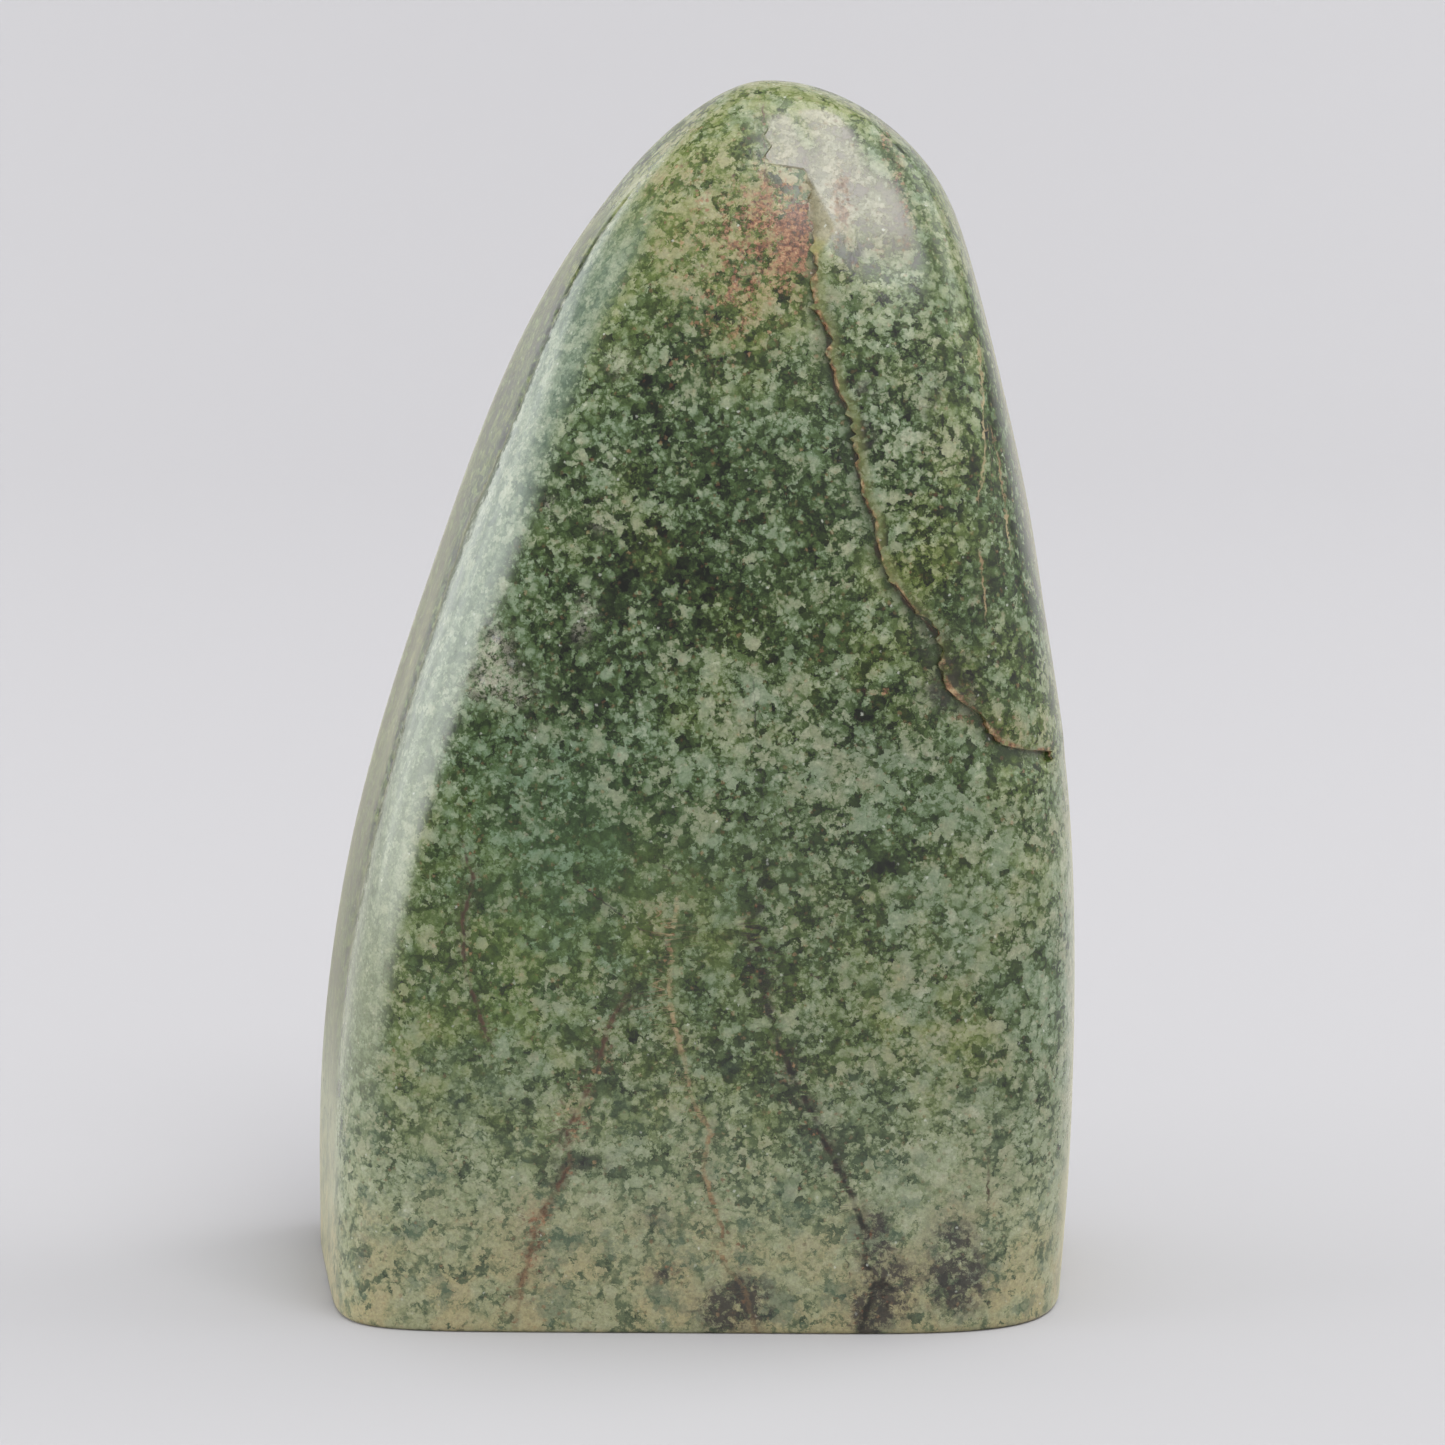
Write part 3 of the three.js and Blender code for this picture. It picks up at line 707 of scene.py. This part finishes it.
# Clumped flakes. Every flake is a small cell with one tone, which it takes from soft clouds at its middle,
# so that pale flakes gather in clumps; its outline is ragged. Small flakes lie among the larger ones.
RAGGEDNESS = 1.5
LARGE_FLAKE = 1.25
SMALL_FLAKE = 0.55
MIDDLE_TONE = 0.46
tangle = cloudy(tree, place, 0.8, 4, 0.7, (11, 3, 50), output="Color")
tangled = vector_math(tree, "SUBTRACT", tangle, (0.5, 0.5, 0.5))
ragged_place = vector_math(tree, "ADD", place, scaled(tree, tangled, RAGGEDNESS))


def flakes(tree, size, shift):
    """The tone of flakes of about that size in mm, and how far inside its own flake each point is."""
    cells = add(tree, "ShaderNodeTexVoronoi")
    feed(tree, cells.inputs["Vector"], vector_math(tree, "ADD", ragged_place, shift))
    cells.inputs["Scale"].default_value = 1 / size
    clouds = cloudy(tree, cells.outputs["Position"], 2.4, 4, 0.62, (70, 1, 4))
    lots = add(tree, "ShaderNodeSeparateColor")
    feed(tree, lots.inputs["Color"], cells.outputs["Color"])
    own = times(tree, calculate(tree, "SUBTRACT", lots.outputs["Red"], 0.5), 0.5)
    return swing(tree, clouds, 2.2, own), stretch(tree, cells.outputs["Distance"], 0.62, 0.2)


large_tone, large_inside = flakes(tree, LARGE_FLAKE, (0, 0, 0))
small_tone, small_inside = flakes(tree, SMALL_FLAKE, (31, 7, 5))
size_share = stretch(tree, cloudy(tree, ragged_place, 1.6, 3, 0.6, (5, 80, 1)), 0.44, 0.54)
tone = mix_values(tree, size_share, large_tone, small_tone)
inside = mix_values(tree, size_share, large_inside, small_inside)
tone = swing(tree, inside, 0.32, tone, middle=0.6)
tone = swing(tree, cloudy(tree, ragged_place, 1.2, 6, 0.75, (70, 1, 4)), 1.1, tone)
tone = grade(tree, mark(tree, "tone_zone"), 0.22, calculate(tree, "ADD", tone, 0.535))
drift = cloudy(tree, place, 14, 2, 0.5)
tone = swing(tree, drift, 0.3, tone)
tone = mix_values(tree, 0.5, tone, stretch(tree, tone, 0.22, 0.74, 0.12, 0.84))
contrast = grade(tree, mark(tree, "calm_zone"), -0.26, 0.88)
tone = swing(tree, tone, contrast, MIDDLE_TONE, middle=MIDDLE_TONE)

# The ground's hue: blue-green, olive, a fresher green on the left, and pale sage and beige low down.
FRESH_TINT = (0.80, 0.96, 0.96, 1)
patchy = cloudy(tree, place, 3.5, 3, 0.6, (40, 0, 7))
olive_share = calculate(tree, "ADD", mark(tree, "olive_zone"), stretch(tree, drift, 0.44, 0.64, 0.05, 0.6))
olive_share = times(tree, olive_share, stretch(tree, patchy, 0.36, 0.58, 0.25, 1.0), clamp=True)
deep_green = ramp(tree, tone, [(0.0, (8, 15, 2)), (0.15, (40, 55, 26)), (0.35, (74, 96, 52)),
                               (0.5, (96, 118, 81)), (0.65, (122, 143, 114)), (0.85, (152, 165, 140)),
                               (1.0, (178, 186, 164))])
olive = ramp(tree, tone, [(0.0, (16, 20, 1)), (0.15, (54, 66, 18)), (0.35, (96, 113, 50)),
                          (0.5, (118, 132, 72)), (0.65, (140, 149, 98)), (0.85, (165, 170, 130)),
                          (1.0, (186, 188, 156))])
sage = ramp(tree, tone, [(0.0, (30, 44, 28)), (0.25, (108, 124, 94)), (0.38, (149, 159, 125)),
                         (0.5, (162, 171, 137)), (0.8, (179, 185, 157)), (1.0, (196, 199, 174))])
colour = blend(tree, olive_share, deep_green, olive)
wandering_level = swing(tree, patchy, 16, level)
paling = stretch(tree, wandering_level, 8, 33, 0.85, 0.0)
colour = blend(tree, paling, colour, sage)
colour = blend(tree, mark(tree, "fresh_zone"), colour, FRESH_TINT, "MULTIPLY")
tint = cloudy(tree, place, 5, 3, 0.6, (9, 60, 2))
beige_share = times(tree, stretch(tree, wandering_level, 0, 18, 0.9, 0.0), stretch(tree, tone, 0.1, 0.5))
beige_share = times(tree, beige_share, stretch(tree, tint, 0.4, 0.58, 0.35, 1.0))
colour = blend(tree, beige_share, colour, srgb(190, 176, 134))
smudge = stretch(tree, cloudy(tree, ragged_place, 3.2, 4, 0.65, (55, 2, 66)), 0.54, 0.62, 0.0, 0.6)
colour = blend(tree, times(tree, smudge, paling), colour, srgb(86, 110, 92))

# Beige rims and tints on the pale flakes.
rust_zone = mark(tree, "rust_zone")
tint_share = grade(tree, rust_zone, 0.8, stretch(tree, tint, 0.45, 0.65, 0.0, 0.38))
tint_share = times(tree, calculate(tree, "MINIMUM", tint_share, 0.65), stretch(tree, tone, 0.4, 0.7))
rustiness = calculate(tree, "MINIMUM", rust_zone, 0.6)
tint_colour = blend(tree, rustiness, srgb(172, 166, 136), srgb(184, 140, 92))
colour = blend(tree, tint_share, colour, tint_colour)

# Smoky brown-black stain near the base and here and there above it, in branching tufts, and one patch of
# painted shadow below the spall.
smoke_noise = cloudy(tree, ragged_place, 1.8, 4, 0.65, (4, 4, 90))
tufts = cloudy(tree, ragged_place, 0.9, 5, 0.75, (4, 44, 9))
# The smoke zone includes one patch of painted shadow below the spall.
smoke_and_shadow = times(tree, mark(tree, "smoke_and_shadow_zone"), stretch(tree, smoke_noise, 0.34, 0.56))
smoke_and_shadow = times(tree, smoke_and_shadow, stretch(tree, tufts, 0.40, 0.56, 0.2, 1.0), clamp=True)
colour = blend(tree, times(tree, smoke_and_shadow, 0.9), colour, srgb(56, 50, 50))

# Beside the fracture: smooth dark rock in the hollow, darker still as painted shade under the slab's lip,
# an olive rounded edge on the slab, a dark crack at its foot and the iron crust on its lip. The spall's
# flat face is a clean olive green.
lip_offset = mark(tree, "lip_offset")
lip_strength = mark(tree, "lip_strength")
near_lip = swing(tree, smoke_noise, 0.8, lip_offset)
hollow_dark_and_shade = times(tree, stretch(tree, near_lip, -1.7, -0.1), stretch(tree, lip_offset, -0.1, 0.1, 1.0, 0.0))
# Painted shade: the hollow beside the lip is darkened, partly its own smooth dark rock and partly shade.
colour = blend(tree, times(tree, times(tree, hollow_dark_and_shade, lip_strength), 0.55), colour, srgb(66, 86, 50))
on_edge = times(tree, stretch(tree, near_lip, 0.4, 1.4, 1.0, 0.0), stretch(tree, lip_offset, -0.05, 0.1))
on_edge = times(tree, on_edge, stretch(tree, level, 66, 78, 0.2, 1.0))
colour = blend(tree, times(tree, times(tree, on_edge, lip_strength), 0.6), colour, srgb(128, 132, 84))
crust_noise = cloudy(tree, place, 0.9, 3, 0.6, (1, 2, 3))
crust_place = swing(tree, crust_noise, 0.7, lip_offset)
at_foot = stretch(tree, lip_offset, -0.06, 0.03, 1.0, 0.0)
crack = times(tree, stretch(tree, crust_place, -0.35, -0.15, 0.0, 0.85), at_foot)
crack = times(tree, crack, stretch(tree, smoke_noise, 0.38, 0.6, 0.25, 1.0))
colour = blend(tree, times(tree, crack, lip_strength), colour, srgb(66, 50, 38))
crust = times(tree, stretch(tree, lip_offset, -0.08, 0.0), stretch(tree, crust_place, 0.1, 0.4, 1.0, 0.0))
crust = times(tree, crust, stretch(tree, smoke_noise, 0.42, 0.56, 0.15, 1.0))
crust_colour = ramp(tree, crust_noise, [(0.36, (200, 172, 134)), (0.48, (158, 118, 84)),
                                        (0.60, (88, 54, 40))])
colour = blend(tree, times(tree, crust, lip_strength), colour, crust_colour)
colour = blend(tree, times(tree, mark(tree, "spall_zone"), 0.7), colour, srgb(162, 156, 100))

# Rust. It tints the pale flakes salmon and tan wherever the stain reaches, and lies in darker specks.
crumbs = cloudy(tree, place, 0.5, 4, 0.8, (3, 33, 3))
rust_clumps = mix_values(tree, 0.45, cloudy(tree, ragged_place, 1.6, 4, 0.7, (61, 5, 8)), crumbs)
rust_lower = grade(tree, calculate(tree, "MINIMUM", rust_zone, 1.2), -0.16, 0.57)
rust_tint = stretch(tree, rust_clumps, rust_lower, calculate(tree, "ADD", rust_lower, 0.08))
rust_tint = times(tree, rust_tint, stretch(tree, rust_zone, 0.02, 0.5, 0.0, 0.85))
crumb_shade = cloudy(tree, place, 0.45, 4, 0.8, (23, 3, 61))
rust_tufts = grade(tree, tufts, 0.9, -1.0)
salmon_shade = grade(tree, crumb_shade, 2.0, rust_tufts)
salmon = ramp(tree, salmon_shade, [(0.2, (70, 42, 36)), (0.38, (130, 78, 60)), (0.58, (180, 124, 94)),
                                   (0.85, (210, 176, 140))])
colour = blend(tree, rust_tint, colour, salmon)
rust_share = grade(tree, rust_zone, 0.45, 0.006)
rust_mask, rust_shade = grain_layer(tree, place, 0.5, rust_share, 0.12, (7, 3, 77))
rust_colour = ramp(tree, rust_shade, [(0.0, (88, 46, 36)), (0.5, (140, 90, 62)), (1.0, (192, 156, 118))])
colour = blend(tree, times(tree, rust_mask, 0.8), colour, rust_colour)

# Veins: a wandering core and a blotchy halo.
wandering = swing(tree, cloudy(tree, place, 0.8, 4, 0.65, (9, 9, 9)), 1.1, mark(tree, "vein_offset"))
from_core = calculate(tree, "ABSOLUTE", wandering)
core = stretch(tree, calculate(tree, "DIVIDE", from_core, mark(tree, "vein_width")), 0.4, 1.3, 1.0, 0.0)
core = times(tree, core, mark(tree, "vein_strength"))
blotch = cloudy(tree, place, 1.6, 3, 0.6, (19, 9, 9))
core = times(tree, core, stretch(tree, blotch, 0.42, 0.58, 0.4, 1.0))
hue = swing(tree, tufts, 1.2, mark(tree, "vein_hue"))
vein_colour = ramp(tree, hue, [(0.0, (30, 30, 26)), (0.4, (96, 68, 50)), (0.7, (160, 132, 98)),
                               (1.0, (192, 176, 138))])
halo = times(tree, stretch(tree, from_core, 0.1, 1.5, 1.0, 0.0), mark(tree, "vein_strength"))
halo = times(tree, times(tree, halo, mark(tree, "vein_halo")), stretch(tree, blotch, 0.42, 0.6))
halo_colour = blend(tree, 0.6, vein_colour, srgb(66, 62, 46))
colour = blend(tree, times(tree, halo, 0.8), colour, halo_colour)
speck, _ = grain_layer(tree, place, 0.4, times(tree, halo, 0.5), 0.1, (17, 3, 7))
colour = blend(tree, times(tree, speck, 0.7), colour, rust_colour)
colour = blend(tree, times(tree, core, 0.9), colour, vein_colour)

# The ridge band is painted paler and smoother, with fine streaks that run along it: partly rubbed stone,
# partly a painted highlight where the window's reflection lies on the ridge, with a paler beige low down.
# The facet is ground dull, and painted paler and pinkish, partly a painted highlight under its reflection.
# The left face is a darker mottled green, with a ragged dark line where the ridge meets it.
ridge_band = mark(tree, "ridge_band")
streaky_place = vector_math(tree, "MULTIPLY", ragged_place, (1.0, 1.0, 0.08))
streaks = cloudy(tree, streaky_place, 0.8, 3, 0.6, (8, 8, 8))
rubbed_and_highlit = ramp(tree, grade(tree, tone, 0.6, times(tree, streaks, 0.65)),
              [(0.3, (92, 114, 98)), (0.65, (134, 150, 132)), (0.9, (166, 176, 158))])
# Painted highlight: low on the ridge the band is painted paler still, where the window's reflection runs
# down.
ridge_rub_and_highlight = blend(tree, stretch(tree, level, 20, 80, 0.55, 0.0), rubbed_and_highlit, srgb(172, 174, 140))
colour = blend(tree, times(tree, ridge_band, 0.8), colour, ridge_rub_and_highlight)
# Painted highlight: the facet is painted paler and pinkish under the key light's reflection.
facet_zone = mark(tree, "facet_zone")
colour = blend(tree, times(tree, facet_zone, 0.6), colour, blend(tree, 0.5, rubbed_and_highlit, srgb(168, 136, 122)))
left_face = mark(tree, "left_edge")
left_mottle = ramp(tree, tufts, [(0.42, (100, 118, 76)), (0.58, (222, 230, 184))])
colour = blend(tree, left_face, colour, left_mottle, "MULTIPLY")
ridge_line = stretch(tree, swing(tree, tufts, 3.0, mark(tree, "ridge_line")), 0.6, 1.0)
colour = blend(tree, times(tree, ridge_line, 0.75), colour, srgb(30, 52, 14))

# Frosty crumbs round the chips.
frost = times(tree, mark(tree, "frost_zone"), stretch(tree, crumbs, 0.42, 0.58), clamp=True)
colour = blend(tree, times(tree, frost, 0.75), colour, srgb(196, 192, 176))

# Fine tooth of the rock, and a few bright specks that are painted glints of light on mineral grains.
tooth = cloudy(tree, place, 0.30, 3, 0.75, (2, 4, 8))
tooth_shade = ramp(tree, tooth, [(0.30, (203, 204, 197)), (0.70, (253, 254, 246))])
colour = blend(tree, 1.0, colour, tooth_shade, "MULTIPLY")
# Painted highlight: near-white specks painted into the colour as glints.
painted_glint, _ = grain_layer(tree, place, 0.35, 0.006, 0.004, (90, 3, 7))
colour = blend(tree, times(tree, painted_glint, 0.5), colour, srgb(215, 218, 205))
feed(tree, shader.inputs["Base Color"], colour)

# Gloss: duller low down, on the facet's lower part, in the veins and where the rock is crumbly or rusty.
gloss = grade(tree, tone, 0.06, 0.17)
gloss = calculate(tree, "ADD", gloss, stretch(tree, level, 4, 34, 0.14, 0.0))
gloss = calculate(tree, "ADD", gloss, times(tree, facet_zone, stretch(tree, level, 103, 109, 0.3, 0.0)))
for dull_place, roughness in ((core, 0.2), (frost, 0.4), (left_face, 0.2), (ridge_line, 0.4),
                              (rust_tint, 0.2), (rust_mask, 0.2)):
    gloss = grade(tree, dull_place, roughness, gloss)
feed(tree, shader.inputs["Roughness"], gloss)
SHEEN_COLOUR = (1.0, 0.9, 0.6, 1)
for name, value in (("IOR", 1.56), ("Sheen Weight", 0.4), ("Sheen Roughness", 0.2),
                    ("Sheen Tint", SHEEN_COLOUR)):
    shader.inputs[name].default_value = value

# Harder flakes stand a few hundredths of a mm above the softer ground, less so on the well rubbed ridge.
FLAKE_RELIEF = 0.03
relief_height = times(tree, calculate(tree, "ADD", tone, times(tree, tooth, 0.4)), FLAKE_RELIEF)
relief_height = times(tree, relief_height, stretch(tree, ridge_band, 0.0, 1.0, 1.0, 0.35))
polish = add(tree, "ShaderNodeBump")
polish.inputs["Strength"].default_value = 0.5
polish.inputs["Distance"].default_value = MM
feed(tree, polish.inputs["Height"], relief_height)
feed(tree, shader.inputs["Normal"], polish.outputs["Normal"])
stone.data.materials.append(finish)

# ----------------------------------------------------------------------------------------
# The stage, which isn't part of the object: a pale sheet of paper that lies flat under the stone and
# sweeps up behind it.
# ----------------------------------------------------------------------------------------
SWEEP_HALF_WIDTH = 2.2
SWEEP_FRONT = -2.0
SWEEP_BEND_START = 0.45
SWEEP_RADIUS = 0.5
SWEEP_TOP = 2.0
SWEEP_BEND_STEPS = 24
PAPER_COLOUR = (0.48, 0.475, 0.487, 1)
bend_angles = np.linspace(0, math.pi / 2, SWEEP_BEND_STEPS + 1)
profile = [(SWEEP_FRONT, 0.0)]
for bend in bend_angles:
    profile.append((SWEEP_BEND_START + SWEEP_RADIUS * math.sin(bend), SWEEP_RADIUS * (1 - math.cos(bend))))
profile.append((SWEEP_BEND_START + SWEEP_RADIUS, SWEEP_TOP))
sweep_points = [(side * SWEEP_HALF_WIDTH, y, z) for y, z in profile for side in (-1, 1)]
sweep_faces = [(2 * i, 2 * i + 1, 2 * i + 3, 2 * i + 2) for i in range(len(profile) - 1)]
sweep_mesh = bpy.data.meshes.new("sweep")
sweep_mesh.from_pydata(sweep_points, [], sweep_faces)
sweep_mesh.shade_smooth()
sweep = bpy.data.objects.new("sweep", sweep_mesh)
bpy.context.scene.collection.objects.link(sweep)
paper = bpy.data.materials.new("pale paper")
paper.use_nodes = True
paper_shader = paper.node_tree.nodes["Principled BSDF"]
paper_shader.inputs["Base Color"].default_value = PAPER_COLOUR
paper_shader.inputs["Roughness"].default_value = 0.9
sweep_mesh.materials.append(paper)

# ----------------------------------------------------------------------------------------
# Light: soft daylight all round, brighter from behind on the right; the three panes of a window low on the
# left; a key light high on the right, a white board beside it, a ceiling light and a light for the sweep.
# ----------------------------------------------------------------------------------------
SKY_COLOUR = (0.98, 0.98, 1.0, 1)
SKY_BRIGHT_SIDE = (0.6, 0.45, 0.75)
SKY_DIM = 0.41
SKY_BRIGHT = 0.92
SKY_SPREAD = 0.7
world = bpy.data.worlds.new("daylight")
bpy.context.scene.world = world
world.use_nodes = True
sky = world.node_tree
background = sky.nodes["Background"]
background.inputs["Color"].default_value = SKY_COLOUR
looking = add(sky, "ShaderNodeTexCoord").outputs["Generated"]
towards_bright = vector_math(sky, "DOT_PRODUCT", looking, SKY_BRIGHT_SIDE)
sky_strength = stretch(sky, towards_bright, -SKY_SPREAD, SKY_SPREAD, SKY_DIM, SKY_BRIGHT)
feed(sky, background.inputs["Strength"], sky_strength)
bpy.context.scene.view_settings.view_transform = "Standard"

# The soft lights. Each: name, azimuth (degrees from the front towards the right), elevation (degrees), then
# distance from the stone, width and height in m, brightness, and what it is aimed at.
STONE_MIDDLE = Vector((0, 0, HEIGHT / 2 * MM))
SWEEP_SPOT = Vector((0.5, 0.95, 0.1))
SOFT_LIGHTS = [
    ("window pane 1", -78, 9, 0.8, 0.46, 0.4, 4.1, STONE_MIDDLE),
    ("window pane 2", -110, 9, 0.8, 0.46, 0.4, 2.8, STONE_MIDDLE),
    ("window pane 3", -141, 9, 0.8, 0.46, 0.4, 1.4, STONE_MIDDLE),
    ("key light on the right", 30, 61, 1.0, 0.42, 0.42, 6.0, STONE_MIDDLE),
    ("white board on the right", 105, 40, 0.9, 0.7, 0.5, 2.2, STONE_MIDDLE),
    ("ceiling light", 90, 82, 1.2, 0.8, 0.8, 1.8, STONE_MIDDLE),
    ("light on the sweep", 115, 25, 0.85, 0.3, 0.3, 5.0, SWEEP_SPOT),
]
for name, azimuth, elevation, distance, width, height, brightness, target in SOFT_LIGHTS:
    lamp = bpy.data.lights.new(name, "AREA")
    lamp.shape = "RECTANGLE"
    lamp.size = width
    lamp.size_y = height
    lamp.energy = brightness * math.pi * width * height
    holder = bpy.data.objects.new(name, lamp)
    bpy.context.scene.collection.objects.link(holder)
    turn, rise = math.radians(azimuth), math.radians(elevation)
    outwards = Vector((math.sin(turn) * math.cos(rise), -math.cos(turn) * math.cos(rise), math.sin(rise)))
    holder.location = outwards * distance + STONE_MIDDLE
    holder.rotation_euler = (holder.location - target).to_track_quat("Z", "Y").to_euler()

# ----------------------------------------------------------------------------------------
# The camera: a long lens, a little above the stone and looking down on it.
# ----------------------------------------------------------------------------------------
CAMERA_DISTANCE = 0.76
CAMERA_PITCH = math.radians(12)
CAMERA_AIM = np.array([2.45, -8.0, 58.1])
SENSOR_WIDTH = 36
PIXELS_PER_MM = 10.19
IMAGE_WIDTH = 1445
aim_x, aim_y, aim_z = (CAMERA_AIM + shift) * MM
camera_data = bpy.data.cameras.new("camera")
camera_data.sensor_width = SENSOR_WIDTH
camera_data.lens = SENSOR_WIDTH * PIXELS_PER_MM / MM * CAMERA_DISTANCE / IMAGE_WIDTH
camera = bpy.data.objects.new("camera", camera_data)
bpy.context.scene.collection.objects.link(camera)
camera.location = (aim_x, aim_y - CAMERA_DISTANCE * math.cos(CAMERA_PITCH),
                   aim_z + CAMERA_DISTANCE * math.sin(CAMERA_PITCH))
camera.rotation_euler = (math.pi / 2 - CAMERA_PITCH, 0, 0)
bpy.context.scene.camera = camera
